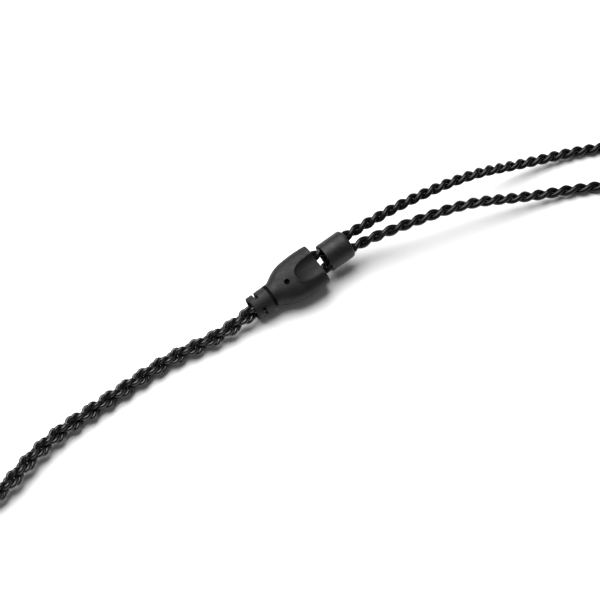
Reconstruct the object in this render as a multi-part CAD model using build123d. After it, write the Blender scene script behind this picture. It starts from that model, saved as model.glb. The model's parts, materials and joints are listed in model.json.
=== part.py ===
from build123d import *
import math
import os

# In-ear monitor set lying on a table: a Y splitter with its chin slider, a twisted cord with a 3.5 mm
# plug, and two legs that end in ear hooks, snap connectors and dual-driver earpieces.
# Millimetres, +Z up, table top at Z = 0. The origin is on the table, straight under the middle of the
# splitter's mouth. The splitter's own axes: x along the cord and out of the mouth, y to the left, z up.

# ---- Cord ----------------------------------------------------------------------------------------
LEG_DIA = 2.2             # one twisted pair
MAIN_DIA = 3.7            # the two pairs laid together
CORD_ROOM = 0.15          # radial room round a cord in a hole that it passes through
BEND_SHARE = 0.45         # share of the shorter run that each bend takes up

# ---- Splitter ------------------------------------------------------------------------------------
SPLITTER_HEADING = 36.3   # degrees, direction of the axis on the table
SPLITTER_PITCH = 6.0      # degrees, mouth higher than the strain relief
SPLITTER_ROLL = 12.0      # degrees, top turned to the right
MOUTH_HEIGHT = 5.2        # middle of the mouth above the table
BODY_LENGTH = 12.1
BODY_WIDTH = 10.2
BODY_HEIGHT = 6.6
MOUTH_WIDTH = 9.8
MOUTH_THICKNESS = 6.2
RELIEF_LENGTH = 5.6
RELIEF_DIA = 5.8
SLOT_WIDTH = 0.7          # flex slots of the strain relief
SLOT_DEPTH = 1.0
FIRST_SLOT = 0.5          # from the body to the first slot
SLOT_STEP = 2.9           # from one slot to the next
SCOOP_WIDTH = 5.0         # thumb scoop, where it opens into the mouth
SCOOP_DEPTH = 1.0
SCOOP_LENGTH = 6.2
DIMPLE_DIA = 1.2
DIMPLE_DEPTH = 1.2
DIMPLE_PLACE = 8.4        # from the mouth
POCKET_WIDTH = 7.0        # oval pocket that both legs leave through
POCKET_HEIGHT = 2.7
POCKET_DEPTH = 5.0
CORE_LENGTH = 6.0         # locking core moulded round the joint of the cords
CORE_BLOCK_LENGTH = 3.0
LEG_GAP = 0.4             # clear gap between the legs where they run side by side
LEG_SPACING = LEG_DIA + LEG_GAP

# ---- Slider --------------------------------------------------------------------------------------
SLIDER_GAP = 2.15         # from the mouth to the slider
SLIDER_LENGTH = 6.25
SLIDER_DIA = 6.8
SLIDER_WALL = 0.5
SLIDER_END_WALL = 1.3
SLIDER_EDGE = 0.8         # rounding of the far edge

# ---- Plug ----------------------------------------------------------------------------------------
PIN_DIA = 3.5
SLEEVE_LENGTH = 7.4       # cylindrical stretch of the sleeve contact
BAND_LENGTH = 0.7         # one insulating band
RING_LENGTH = 2.0
TIP_LENGTH = 3.2
TIP_WAIST = 0.35          # how far the waist behind the tip is drawn in
CONTACT_WALL = 0.3        # wall of each nested tube of the pin
PIN_TAIL = 5.0            # length of the pin that is moulded into the barrel
PIN_SEAT_DIA = 4.0        # thicker foot of the sleeve contact, in the barrel and the collar
BARREL_LENGTH = 15.0
BARREL_DIA = 7.6
COLLAR_LENGTH = 1.6
COLLAR_DIA = 6.4
BOOT_LENGTH = 10.0        # tapered strain relief of the plug
BOOT_DIA = 5.0            # at the cord's end
PLUG_CORD_DEPTH = 6.5     # cord inside the boot

# ---- Snap connector on each leg ------------------------------------------------------------------
CONNECTOR_LENGTH = 8.0
CONNECTOR_DIA = 4.6
CONNECTOR_GAP = 0.2       # between the connector and the earpiece that turns on it
CONNECTOR_CORD_DEPTH = 4.0
GRIP_COUNT = 3
GRIP_WIDTH = 0.5
GRIP_DEPTH = 0.3
SNAP_DIA = 3.0            # outer contact
SNAP_WALL = 0.35
SNAP_REACH = 2.4          # past the connector's mouth, into the socket
SNAP_SEAT = 2.8           # inside the connector
CENTRE_PIN_DIA = 0.7
RUNNING_GAP = 0.05        # radial gap of a fit that turns or slides
SOCKET_WALL = 0.65
SOCKET_LENGTH = 3.6
SOCKET_FLOOR = 0.6
RECEPTACLE_WALL = 0.3
RECEPTACLE_BACK = 1.0     # tail of the receptacle behind the socket
HOOK_DIA = 3.2            # memory sleeve that forms the ear hook
HOOK_START = 9.8 + LEG_DIA  # from the coil's end of the tail to the sleeve, clear of the coil

# ---- Earpiece ------------------------------------------------------------------------------------
# Its own axes: x along the connector and into the shell, z up from the faceplate.
SHELL_LENGTH = 19.0
SHELL_WIDTH = 15.0
SHELL_HEIGHT = 12.0
SHELL_START = 1.0         # from the socket's mouth to the shell
SHELL_WALL = 1.0
FACE_EDGE = 1.6           # rounding round the faceplate
CROWN_EDGE = 4.6          # rounding of the side that faces the ear
SOCKET_HEIGHT = 5.0       # socket axis and parting plane above the faceplate
BOSS_WALL = 0.9
NOZZLE_PLACE = (13.0, 1.2)
NOZZLE_TILT = 20.0        # degrees
NOZZLE_TURN = 25.0        # degrees, direction of the tilt
NOZZLE_ROOT = 9.0         # height where the nozzle's axis starts
NOZZLE_LENGTH = 11.0
NOZZLE_DIA = 5.2
NOZZLE_BORE = 3.6
RIM_DIA = 5.8
RIM_LENGTH = 1.0
FILTER_LENGTH = 0.5
DAMPER_LENGTH = 2.0
DAMPER_DEPTH = 3.0        # from the nozzle's end to the damper
TIP_STEM_WALL = 0.7
TIP_DIA = 12.0
TIP_HEIGHT = 8.6
TIP_SKIN = 0.6
TIP_OVERHANG = 1.2        # ear tip past the nozzle's end
BOARD = (8.0, 9.0, 0.8)
WOOFER = (6.8, 4.2, 3.2)
TWEETER = (5.0, 2.8, 2.2)
BOARD_START = 5.6         # from the socket's mouth to the board
DRIVER_GAP = 0.6

# ---- Put-away coils ------------------------------------------------------------------------------
TIE_THICKNESS = 0.6
MAIN_COIL = {"centre": (-96.0, -38.0), "radius": 20.0, "layers": 3, "dia": MAIN_DIA}
LEFT_COIL = {"centre": (124.0, 18.5), "radius": 11.2, "layers": 2, "dia": LEG_DIA}
RIGHT_COIL = {"centre": (82.0, 6.5), "radius": 13.0, "layers": 2, "dia": LEG_DIA}
COIL_COLUMNS = 2
MAIN_TIE = (8.0, 40.0)    # width, and direction from the coil's centre in degrees
LEG_TIE = (5.0, 200.0)

SPLITTER_PLACE = Location((0, 0, MOUTH_HEIGHT)) * Rotation(0, 0, SPLITTER_HEADING) * Rotation(
    0, -SPLITTER_PITCH, 0
) * Rotation(SPLITTER_ROLL, 0, 0)


def on_splitter(x, y=0.0, z=0.0):
    """A point given on the splitter's own axes."""
    return (SPLITTER_PLACE * Location((x, y, z))).position


# ---- Cord routes: the points chosen along each stretch that isn't coiled -------------------------
LEG_OFFSET = LEG_SPACING / 2
LEG_STRAIGHT = 23.0       # straight out of the mouth, so that the slider can travel

MAIN_ROUTE = [
    on_splitter(-POCKET_DEPTH - CORE_LENGTH),
    Vector(-20.0, -14.7, 2.6),
    Vector(-32.0, -21.2, 1.9),
    Vector(-45.0, -32.0, 1.9),
    Vector(-58.5, -42.6, 2.6),
    Vector(-68.0, -54.0, 3.0),
    Vector(-79.0, -59.85, 2.45),
    Vector(-91.0, -59.85, 2.45),
]
MAIN_TAIL_ROUTE = [
    Vector(-117.85, -41.0, 6.15),
    Vector(-117.25, -27.0, 5.3),
    Vector(-112.5, -13.5, BARREL_DIA / 2),
    Vector(-109.7, 0.4, BARREL_DIA / 2),
]
LEFT_LEG_ROUTE = [
    on_splitter(-POCKET_DEPTH, LEG_OFFSET),
    on_splitter(LEG_STRAIGHT, LEG_OFFSET),
    Vector(43.4, 26.0, 6.0),
    Vector(67.0, 31.2, 1.3),
    Vector(91.0, 33.0, 1.3),
    Vector(110.0, 30.8, 1.7),
    Vector(122.0, 30.8, 1.7),
]
RIGHT_LEG_ROUTE = [
    on_splitter(-POCKET_DEPTH, -LEG_OFFSET),
    on_splitter(LEG_STRAIGHT, -LEG_OFFSET),
    Vector(47.0, 17.6, 5.0),
    Vector(66.5, 20.9, 1.3),
    Vector(80.0, 20.6, 1.7),
]
LEFT_TAIL_ROUTE = [
    Vector(136.3, 21.0, 3.9),
    Vector(136.1, 4.5, 3.2),
    Vector(132.7, -12.2, SOCKET_HEIGHT),
    Vector(124.4, -26.4, SOCKET_HEIGHT),
]
RIGHT_TAIL_ROUTE = [
    Vector(96.1, 9.0, 3.9),
    Vector(95.9, -7.5, 3.2),
    Vector(92.5, -24.2, SOCKET_HEIGHT),
    Vector(84.2, -38.4, SOCKET_HEIGHT),
]


# ---- Helpers -------------------------------------------------------------------------------------
def corner_radii(route):
    """Each bend takes up the same share of the shorter of its two runs."""
    radii = []
    for before, corner, after in zip(route, route[1:], route[2:]):
        run_in, run_out = corner - before, after - corner
        half_turn = math.radians(run_in.get_angle(run_out)) / 2
        radii.append(BEND_SHARE * min(run_in.length, run_out.length) / math.tan(half_turn))
    return radii


def cord_path(route):
    """Straight runs joined by tangent arcs."""
    return FilletPolyline(*route, radius=corner_radii(route))


def swept(path, outer_dia, inner_dia=0.0):
    """A round tube or rod carried along a path."""
    section = Circle(outer_dia / 2)
    if inner_dia:
        section -= Circle(inner_dia / 2)
    return sweep(Plane(origin=path @ 0, z_dir=path % 0) * section, path=path)


def along_x(start, length, dia, hole=0.0):
    """A round bar or tube on the x axis, from start."""
    section = Circle(dia / 2)
    if hole:
        section -= Circle(hole / 2)
    return extrude(Plane.YZ.offset(start) * section, length)


def oval_along_x(start, length, width, height):
    """A bar of flat-sided oval section on the x axis, wide in y."""
    return extrude(Plane.YZ.offset(start) * SlotOverall(width, height), length)


def place_along(origin, heading_vector):
    """A level place whose x axis points along a direction on the table."""
    heading = math.degrees(math.atan2(heading_vector.Y, heading_vector.X))
    return Location(tuple(origin)) * Rotation(0, 0, heading)


# ---- Splitter and slider -------------------------------------------------------------------------
def splitter_body():
    """The mouth widens a little, then the shoulders draw in to the round strain relief."""
    swell = BODY_WIDTH - RELIEF_DIA
    rise = BODY_HEIGHT - RELIEF_DIA
    stations = [
        (0.0, MOUTH_WIDTH, MOUTH_THICKNESS),
        (0.24, 0.4 * MOUTH_WIDTH + 0.6 * BODY_WIDTH, 0.4 * MOUTH_THICKNESS + 0.6 * BODY_HEIGHT),
        (0.45, BODY_WIDTH, BODY_HEIGHT),
        (0.64, RELIEF_DIA + 0.90 * swell, RELIEF_DIA + 0.9 * rise),
        (0.80, RELIEF_DIA + 0.56 * swell, RELIEF_DIA + 0.6 * rise),
        (0.92, RELIEF_DIA + 0.18 * swell, RELIEF_DIA + 0.2 * rise),
        (1.0, RELIEF_DIA, RELIEF_DIA),
    ]
    sections = [
        Plane.YZ.offset(-share * BODY_LENGTH) * Ellipse(width / 2, height / 2)
        for share, width, height in stations
    ]
    return loft(sections)


def flex_slots():
    """Pairs of part-ring slots: the first pair cut from above and below, the next from both sides."""
    slots = []
    for number, turned in enumerate((0, 90)):
        start = -BODY_LENGTH - FIRST_SLOT - SLOT_WIDTH - number * SLOT_STEP
        ring = along_x(start, SLOT_WIDTH, 2 * RELIEF_DIA, RELIEF_DIA - 2 * SLOT_DEPTH)
        web = Box(4 * SLOT_WIDTH, 2 * RELIEF_DIA, 0.36 * RELIEF_DIA)
        web = Location((start, 0, 0)) * web
        slots.append(Rotation(turned, 0, 0) * (ring - web))
    return slots


def scoop_tool():
    """A slanted round bar that cuts deepest at the mouth and runs out on top of the body."""
    radius = (SCOOP_WIDTH**2 / 4 + SCOOP_DEPTH**2) / (2 * SCOOP_DEPTH)
    slant = math.degrees(math.atan2(SCOOP_DEPTH + (BODY_HEIGHT - MOUTH_THICKNESS) / 2, SCOOP_LENGTH))
    bar = along_x(-2 * SCOOP_LENGTH, 4 * SCOOP_LENGTH, 2 * radius)
    height = MOUTH_THICKNESS / 2 - SCOOP_DEPTH + radius
    return Location((0, 0, height)) * Rotation(0, slant, 0) * bar


def splitter_core():
    block = oval_along_x(
        -POCKET_DEPTH - CORE_BLOCK_LENGTH, CORE_BLOCK_LENGTH, POCKET_WIDTH - 0.6, POCKET_HEIGHT + 0.2
    )
    neck = along_x(-POCKET_DEPTH - CORE_LENGTH, CORE_LENGTH - CORE_BLOCK_LENGTH, MAIN_DIA + 0.3)
    return block + neck


def splitter_overmould():
    relief = along_x(-BODY_LENGTH - RELIEF_LENGTH, RELIEF_LENGTH, RELIEF_DIA)
    body = splitter_body() + relief
    for slot in flex_slots():
        body -= slot
    body -= scoop_tool()
    body -= oval_along_x(-POCKET_DEPTH, 2 * POCKET_DEPTH, POCKET_WIDTH, POCKET_HEIGHT)
    body -= splitter_core()
    cord_hole_start = -BODY_LENGTH - RELIEF_LENGTH
    cord_hole_length = -POCKET_DEPTH - CORE_LENGTH - cord_hole_start
    body -= along_x(cord_hole_start, cord_hole_length, MAIN_DIA + 2 * CORD_ROOM)
    dimple = Cylinder(DIMPLE_DIA / 2, 2 * DIMPLE_DEPTH)
    return body - Location((-DIMPLE_PLACE, 0, BODY_HEIGHT / 2)) * dimple


def cable_slider():
    """A short tube, open towards the splitter, whose end wall has an oval hole for both legs."""
    tube = along_x(SLIDER_GAP, SLIDER_LENGTH, SLIDER_DIA)
    tube = fillet(tube.edges().sort_by(Axis.X)[-1], SLIDER_EDGE)
    tube -= along_x(SLIDER_GAP, SLIDER_LENGTH - SLIDER_END_WALL, SLIDER_DIA - 2 * SLIDER_WALL)
    hole_width = LEG_SPACING + LEG_DIA + 2 * CORD_ROOM
    hole_height = LEG_DIA + 2 * CORD_ROOM
    return tube - oval_along_x(SLIDER_GAP, 2 * SLIDER_LENGTH, hole_width, hole_height)


# ---- Coils and ties ------------------------------------------------------------------------------
def coil_section(coil, grow=0.0):
    """Outline of a coil's bundle of turns, standing a tie's thickness above the table."""
    dia = coil["dia"]
    width, height = COIL_COLUMNS * dia, coil["layers"] * dia
    outline = RectangleRounded(width + 2 * grow, height + 2 * grow, 0.45 * dia + grow)
    return Plane.XZ * (Location((coil["radius"], TIE_THICKNESS + height / 2, 0)) * outline)


def coil_ring(coil):
    ring = revolve(coil_section(coil), Axis.Z)
    return Location((*coil["centre"], 0)) * ring


def coil_tie(coil, tie):
    """A strap round the bundle of turns that follows their curve."""
    width, direction = tie
    angle = math.degrees(width / coil["radius"])
    band = coil_section(coil, TIE_THICKNESS) - coil_section(coil)
    strap = revolve(band, Axis.Z, revolution_arc=angle)
    return Location((*coil["centre"], 0)) * Rotation(0, 0, direction) * strap


# ---- Plug ----------------------------------------------------------------------------------------
def plug_pieces():
    """Boot and barrel, locking core, collar, and the pin's nested contacts, on the x axis."""
    bore = [PIN_DIA / 2 - CONTACT_WALL * n for n in range(1, 5)]
    barrel_start = BOOT_LENGTH
    barrel_end = BOOT_LENGTH + BARREL_LENGTH
    tail = barrel_end - PIN_TAIL
    sleeve_start = barrel_end + COLLAR_LENGTH
    rear_band = sleeve_start + SLEEVE_LENGTH
    ring_start = rear_band + BAND_LENGTH
    front_band = ring_start + RING_LENGTH
    tip_start = front_band + BAND_LENGTH
    tip_end = tip_start + TIP_LENGTH

    barrel = along_x(barrel_start, BARREL_LENGTH, BARREL_DIA)
    barrel = fillet(barrel.edges().sort_by(Axis.X)[-1], 0.8)
    boot = loft(
        [
            Plane.YZ * Circle(BOOT_DIA / 2),
            Plane.YZ.offset(BOOT_LENGTH) * Circle(BARREL_DIA / 2 - 0.3),
        ]
    )
    core = along_x(PLUG_CORD_DEPTH, tail - PLUG_CORD_DEPTH, MAIN_DIA + 1.0)
    overmould = barrel + boot - core
    overmould -= along_x(0, PLUG_CORD_DEPTH, MAIN_DIA + 2 * CORD_ROOM)
    overmould -= along_x(tail, PIN_TAIL, PIN_SEAT_DIA)

    sleeve = along_x(tail, rear_band - tail, PIN_DIA, 2 * bore[0])
    sleeve += along_x(tail, sleeve_start - tail, PIN_SEAT_DIA, 2 * bore[0])
    collar = along_x(barrel_end, COLLAR_LENGTH, COLLAR_DIA, PIN_SEAT_DIA)
    rear = along_x(rear_band, BAND_LENGTH, PIN_DIA, 2 * bore[1])
    rear += along_x(tail, rear_band - tail, 2 * bore[0], 2 * bore[1])
    ring = along_x(ring_start, RING_LENGTH, PIN_DIA, 2 * bore[2])
    ring += along_x(tail, ring_start - tail, 2 * bore[1], 2 * bore[2])
    front = along_x(front_band, BAND_LENGTH, PIN_DIA, 2 * bore[3])
    front += along_x(tail, front_band - tail, 2 * bore[2], 2 * bore[3])

    radius, waist = PIN_DIA / 2, PIN_DIA / 2 - TIP_WAIST
    profile = Polyline(
        (tip_start, 0),
        (tip_start, radius),
        (tip_start + 0.12 * TIP_LENGTH, radius),
        (tip_start + 0.34 * TIP_LENGTH, waist),
        (tip_start + 0.58 * TIP_LENGTH, radius),
        (tip_end - 0.08 * TIP_LENGTH, 0.3 * radius),
        (tip_end, 0),
        (tip_start, 0),
    )
    tip = revolve(make_face(profile), Axis.X) + along_x(tail, tip_start - tail, 2 * bore[3])
    return {
        "plug_overmould": overmould,
        "plug_core": core,
        "plug_collar": collar,
        "plug_sleeve": sleeve,
        "plug_rear_insulator": rear,
        "plug_ring": ring,
        "plug_front_insulator": front,
        "plug_tip": tip,
    }


# ---- Snap connector and ear hook -----------------------------------------------------------------
def connector_pieces():
    """The cord's half of the joint, ending at the socket's mouth at x = 0."""
    start = -CONNECTOR_GAP - CONNECTOR_LENGTH
    seat = -CONNECTOR_GAP - SNAP_SEAT
    bore = SNAP_DIA - 2 * SNAP_WALL
    barrel = along_x(start, CONNECTOR_LENGTH, CONNECTOR_DIA)
    barrel = fillet(barrel.edges().group_by(Axis.X)[0], 0.5)
    for number in range(GRIP_COUNT):
        place = start + 1.6 + 2 * number * GRIP_WIDTH
        barrel -= along_x(place, GRIP_WIDTH, 2 * CONNECTOR_DIA, CONNECTOR_DIA - 2 * GRIP_DEPTH)
    barrel -= along_x(start, CONNECTOR_CORD_DEPTH, LEG_DIA + 2 * CORD_ROOM)
    barrel -= along_x(seat, SNAP_SEAT, SNAP_DIA)
    insulator_length = 0.62 * SNAP_REACH - seat
    pin_length = 1.2 * SNAP_REACH - seat
    return {
        "connector_barrel": barrel,
        "snap_contact": along_x(seat, SNAP_REACH - seat, SNAP_DIA, bore),
        "pin_insulator": along_x(seat, insulator_length, bore, CENTRE_PIN_DIA),
        "centre_pin": along_x(seat, pin_length, CENTRE_PIN_DIA),
    }


def hook_path(tail_path):
    """The tail's path from the sleeve's start to the connector's back."""
    return tail_path.trim(HOOK_START / tail_path.length, 1 - CONNECTOR_CORD_DEPTH / tail_path.length)


# ---- Earpiece ------------------------------------------------------------------------------------
def pebble(wall):
    """An oval body with a flat face below and a round crown above, drawn in by a wall."""
    length, width = SHELL_LENGTH - 2 * wall, SHELL_WIDTH - 2 * wall
    height = SHELL_HEIGHT - 2 * wall
    body = extrude(Ellipse(length / 2, width / 2), height)
    body = fillet(body.edges().sort_by(Axis.Z)[-1], CROWN_EDGE - wall)
    body = fillet(body.edges().sort_by(Axis.Z)[0], FACE_EDGE - wall)
    return Location((SHELL_START + SHELL_LENGTH / 2, 0, wall)) * body


def nozzle_place():
    return Location((*NOZZLE_PLACE, NOZZLE_ROOT)) * Rotation(0, 0, NOZZLE_TURN) * Rotation(0, NOZZLE_TILT, 0)


def upright(start, length, dia, hole=0.0):
    """A round bar or tube on the nozzle's axis."""
    section = Circle(dia / 2)
    if hole:
        section -= Circle(hole / 2)
    return nozzle_place() * extrude(Plane.XY.offset(start) * section, length)


def ear_tip():
    """A soft mushroom: a stem round the nozzle and a thin dome that turns back over it."""
    inner = RIM_DIA / 2 + RUNNING_GAP
    stem = inner + TIP_STEM_WALL
    top = NOZZLE_LENGTH + TIP_OVERHANG
    base = top - TIP_HEIGHT
    skirt = TIP_DIA / 2
    outside = Spline(
        (skirt, base + 0.6), (0.93 * skirt, base + 0.52 * TIP_HEIGHT), (stem + 0.4, top - 0.2)
    )
    inside = Spline(
        (stem, top - 2.4 * TIP_SKIN),
        (0.93 * skirt - TIP_SKIN, base + 0.48 * TIP_HEIGHT),
        (skirt - TIP_SKIN, base + 0.6),
    )
    outline = Polyline(
        (stem + 0.4, top - 0.2), (stem, top), (inner, top), (inner, base + 0.3), (stem, base + 0.3),
        (stem, top - 2.4 * TIP_SKIN),
    )
    lip = Line((skirt - TIP_SKIN, base + 0.6), (skirt, base + 0.6))
    face = make_face([outside, outline, inside, lip])
    return nozzle_place() * revolve(Plane.XZ * face, Axis.Z)


def earpiece_pieces():
    """Both shells with their socket, drivers, board, damper and filter, and the ear tip."""
    socket_hole = SNAP_DIA + 2 * RUNNING_GAP
    socket_dia = socket_hole + 2 * SOCKET_WALL
    receptacle_hole = CENTRE_PIN_DIA + 2 * RUNNING_GAP
    receptacle_dia = receptacle_hole + 2 * RECEPTACLE_WALL
    receptacle_start = 0.62 * SNAP_REACH + 0.2
    level = Location((0, 0, SOCKET_HEIGHT))

    boss = level * along_x(0, SOCKET_LENGTH + SOCKET_FLOOR, socket_dia + 2 * BOSS_WALL)
    shell = pebble(0) + boss - pebble(SHELL_WALL)
    shell += upright(0, NOZZLE_LENGTH, NOZZLE_DIA) - pebble(SHELL_WALL)
    shell += upright(NOZZLE_LENGTH - RIM_LENGTH, RIM_LENGTH, RIM_DIA)
    shell -= upright(0, NOZZLE_LENGTH, NOZZLE_BORE)
    shell += boss
    shell -= level * along_x(0, SOCKET_LENGTH, socket_dia)
    shell -= level * along_x(0, SOCKET_LENGTH + SOCKET_FLOOR, receptacle_dia)
    span = 4 * SHELL_LENGTH
    below = Location((0, 0, SOCKET_HEIGHT - span / 2)) * Box(span, span, span)

    socket_floor = SOCKET_LENGTH - SOCKET_FLOOR
    receptacle_end = SOCKET_LENGTH + SOCKET_FLOOR
    board_centre = BOARD_START + BOARD[0] / 2
    board_top = SHELL_WALL + BOARD[2]
    woofer_y = -(DRIVER_GAP + WOOFER[1]) / 2
    tweeter_y = (DRIVER_GAP + TWEETER[1]) / 2
    return {
        "outer_shell": shell & below,
        "inner_shell": shell - below,
        "socket": level * along_x(0, SOCKET_LENGTH, socket_dia, socket_hole),
        "socket_insulator": level * along_x(socket_floor, SOCKET_FLOOR, socket_hole, receptacle_dia),
        "receptacle": level
        * along_x(receptacle_start, receptacle_end - receptacle_start, receptacle_dia, receptacle_hole),
        "crossover_board": Location((board_centre, 0, SHELL_WALL + BOARD[2] / 2)) * Box(*BOARD),
        "woofer": Location((board_centre, woofer_y, board_top + WOOFER[2] / 2)) * Box(*WOOFER),
        "tweeter": Location((board_centre, tweeter_y, board_top + TWEETER[2] / 2)) * Box(*TWEETER),
        "damper": upright(NOZZLE_LENGTH - DAMPER_DEPTH - DAMPER_LENGTH, DAMPER_LENGTH, NOZZLE_BORE),
        "wax_filter": upright(NOZZLE_LENGTH - FILTER_LENGTH, FILTER_LENGTH, NOZZLE_BORE),
        "ear_tip": ear_tip(),
    }


# ---- The set -------------------------------------------------------------------------------------
def side_nodes(side, leg_route, tail_route, coil):
    """One channel: its leg, coil and hook, its connector, and its earpiece, mirrored on the right."""
    heading = tail_route[-1] - tail_route[-2]
    to_socket = CONNECTOR_LENGTH - CONNECTOR_CORD_DEPTH + CONNECTOR_GAP
    place = place_along(tail_route[-1] + heading.normalized() * to_socket, heading)
    place.position = (place.position.X, place.position.Y, 0)
    tail_path = cord_path(tail_route)
    nodes = {
        "leg": swept(cord_path(leg_route), LEG_DIA),
        "coil": coil_ring(coil),
        "coil_tie": coil_tie(coil, LEG_TIE),
        "tail": swept(tail_path, LEG_DIA),
        "ear_hook": swept(hook_path(tail_path), HOOK_DIA, LEG_DIA + 2 * RUNNING_GAP),
    }
    for name, solid in connector_pieces().items():
        nodes[name] = place * Location((0, 0, SOCKET_HEIGHT)) * solid
    for name, solid in earpiece_pieces().items():
        nodes[name] = place * (mirror(solid, about=Plane.XZ) if side == "right" else solid)
    return {f"{side}_{name}": solid for name, solid in nodes.items()}


def all_nodes():
    nodes = {
        "splitter_overmould": SPLITTER_PLACE * splitter_overmould(),
        "splitter_core": SPLITTER_PLACE * splitter_core(),
        "cable_slider": SPLITTER_PLACE * cable_slider(),
        "main_cord": swept(cord_path(MAIN_ROUTE), MAIN_DIA),
        "main_coil": coil_ring(MAIN_COIL),
        "main_coil_tie": coil_tie(MAIN_COIL, MAIN_TIE),
        "main_tail": swept(cord_path(MAIN_TAIL_ROUTE), MAIN_DIA),
    }
    heading = MAIN_TAIL_ROUTE[-1] - MAIN_TAIL_ROUTE[-2]
    entry = MAIN_TAIL_ROUTE[-1] - heading.normalized() * PLUG_CORD_DEPTH
    for name, solid in plug_pieces().items():
        nodes[name] = place_along(entry, heading) * solid
    nodes.update(side_nodes("left", LEFT_LEG_ROUTE, LEFT_TAIL_ROUTE, LEFT_COIL))
    nodes.update(side_nodes("right", RIGHT_LEG_ROUTE, RIGHT_TAIL_ROUTE, RIGHT_COIL))
    return nodes


def print_cords():
    """Each cord stretch: its length and bend radii in millimetres."""
    routes = {
        "main_cord": MAIN_ROUTE,
        "main_tail": MAIN_TAIL_ROUTE,
        "left_leg": LEFT_LEG_ROUTE,
        "left_tail": LEFT_TAIL_ROUTE,
        "right_leg": RIGHT_LEG_ROUTE,
        "right_tail": RIGHT_TAIL_ROUTE,
    }
    for name, route in routes.items():
        radii = [round(radius, 1) for radius in corner_radii(route)]
        runs = [round((b - a).length, 1) for a, b in zip(route, route[1:])]
        print(name, "length", round(cord_path(route).length, 1), "runs", runs, "radii", radii)


os.makedirs("parts", exist_ok=True)
for node, solid in all_nodes().items():
    export_step(solid, f"parts/{node}.step")
print_cords()
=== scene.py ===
"""In-ear monitor set on a white table: Y splitter, chin slider, twisted cord, plug and earpieces."""

import json
import math

import bmesh
import bpy
import numpy as np
from bpy.props import FloatProperty, FloatVectorProperty, IntProperty, PointerProperty
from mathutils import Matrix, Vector


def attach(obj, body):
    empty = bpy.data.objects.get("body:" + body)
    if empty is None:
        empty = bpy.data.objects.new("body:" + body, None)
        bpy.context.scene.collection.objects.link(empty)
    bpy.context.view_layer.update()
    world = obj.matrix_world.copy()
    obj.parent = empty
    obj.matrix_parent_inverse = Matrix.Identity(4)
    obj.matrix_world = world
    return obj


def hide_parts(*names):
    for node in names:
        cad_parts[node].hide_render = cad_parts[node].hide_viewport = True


bl_info = {
    "name": "In-ear monitor set",
    "version": (1, 0, 0),
    "blender": (4, 5, 0),
    "location": "View3D > Sidebar > In-ear set",
    "description": "Builds the splitter, slider, twisted cords, plug and earpieces round their CAD frame",
    "category": "Add Mesh",
}

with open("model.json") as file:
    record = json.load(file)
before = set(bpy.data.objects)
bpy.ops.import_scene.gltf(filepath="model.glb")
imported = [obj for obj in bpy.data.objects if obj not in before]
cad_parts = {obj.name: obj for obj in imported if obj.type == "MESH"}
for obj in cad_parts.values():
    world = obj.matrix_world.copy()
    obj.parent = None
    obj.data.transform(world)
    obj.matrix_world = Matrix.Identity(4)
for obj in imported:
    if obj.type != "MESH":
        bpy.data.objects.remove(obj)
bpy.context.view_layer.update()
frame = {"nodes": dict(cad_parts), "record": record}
JOINTS = {joint["name"]: joint for joint in frame["record"]["behaviour"]["joints"]}
MM = 0.001
UP = np.array([0.0, 0.0, 1.0])
TABLE_HALF = 3.0
KEY_OFFSET = (-0.27, 0.25, 0.66)
SIDES = ("left", "right")

# ---- Splitter sizes, in millimetres on its own axes: x out of the mouth, y to the left, z up ----
MOUTH_HEIGHT = 5.2
SPLITTER_ROLL = 12.0
RELIEF_END = -17.7
RELIEF_RADIUS = 2.9
RELIEF_BORE = 1.95
NECK = -12.1
FLEX_SLOTS = (NECK - 0.45, NECK - 3.4)
DIMPLE = -8.4
MOUTH_HALF_WIDTH = 4.9
MOUTH_HALF_TALL = 3.12
MOUTH_POWER = 2.45
POCKET_DEPTH = 5.0
POCKET_SECTION = (3.5, 1.35, 2.9)
SCOOP_SIDE = 0.35
LEG_OFFSET = 1.3
SLIDER_START = 2.15
SLIDER_END = 8.4
SLIDER_RADIUS = 3.38

# ---- Cords, in millimetres ----
MAIN_DIA = 3.7
LEG_DIA = 2.2
COIL_POINTS = 16
TIE_THICKNESS = 0.6
HOOK_STEP = 0.4
HOOK_STRETCH = slice(-110, -9)
HOOK_RADIUS = 1.42
HOOK_RIPPLE = 0.06
HOOK_RIPPLE_PITCH = 2.8

# ---- Plug and earpiece sizes, in millimetres ----
PLUG_LENGTH = 25.0
PLUG_BACK = 6.5
PLUG_RADIUS = 3.78
BARREL_RADIUS = 2.28
NOZZLE_ROOT = (13.0, 1.2, 9.0)
SHELL_MIDDLE = np.array([10.5, 0, 0])
SHELL_HALF = (9.5, 6.9)


def unit(vector):
    vector = np.asarray(vector, float)
    return vector / np.linalg.norm(vector, axis=-1, keepdims=True)


class Place:
    """A local set of axes in millimetres: origin, and the x, y and z directions in the set's frame."""

    def __init__(self, origin, x, z, mirrored=False):
        x = unit(x)
        y = unit(np.cross(z, x))
        self.origin = np.asarray(origin, float)
        self.axes = np.array([x, -y if mirrored else y, np.cross(x, y)])

    def put(self, points):
        """Local millimetres to the set's frame in metres."""
        return (np.asarray(points, float) @ self.axes + self.origin) * MM


def splitter_place():
    x = unit(JOINTS["slider_slide"]["axis"])
    y = unit(np.cross(UP, x))
    z = np.cross(x, y)
    roll = math.radians(SPLITTER_ROLL)
    return Place((0, 0, MOUTH_HEIGHT), x, z * math.cos(roll) - y * math.sin(roll))


def ear_place(side):
    """Origin on the table under the socket's mouth, x into the shell."""
    joint = JOINTS[f"{side}_swivel"]
    origin = np.array(joint["pos_m"]) / MM * (1, 1, 0)
    return Place(origin, joint["axis"], UP, side == "right")


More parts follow.
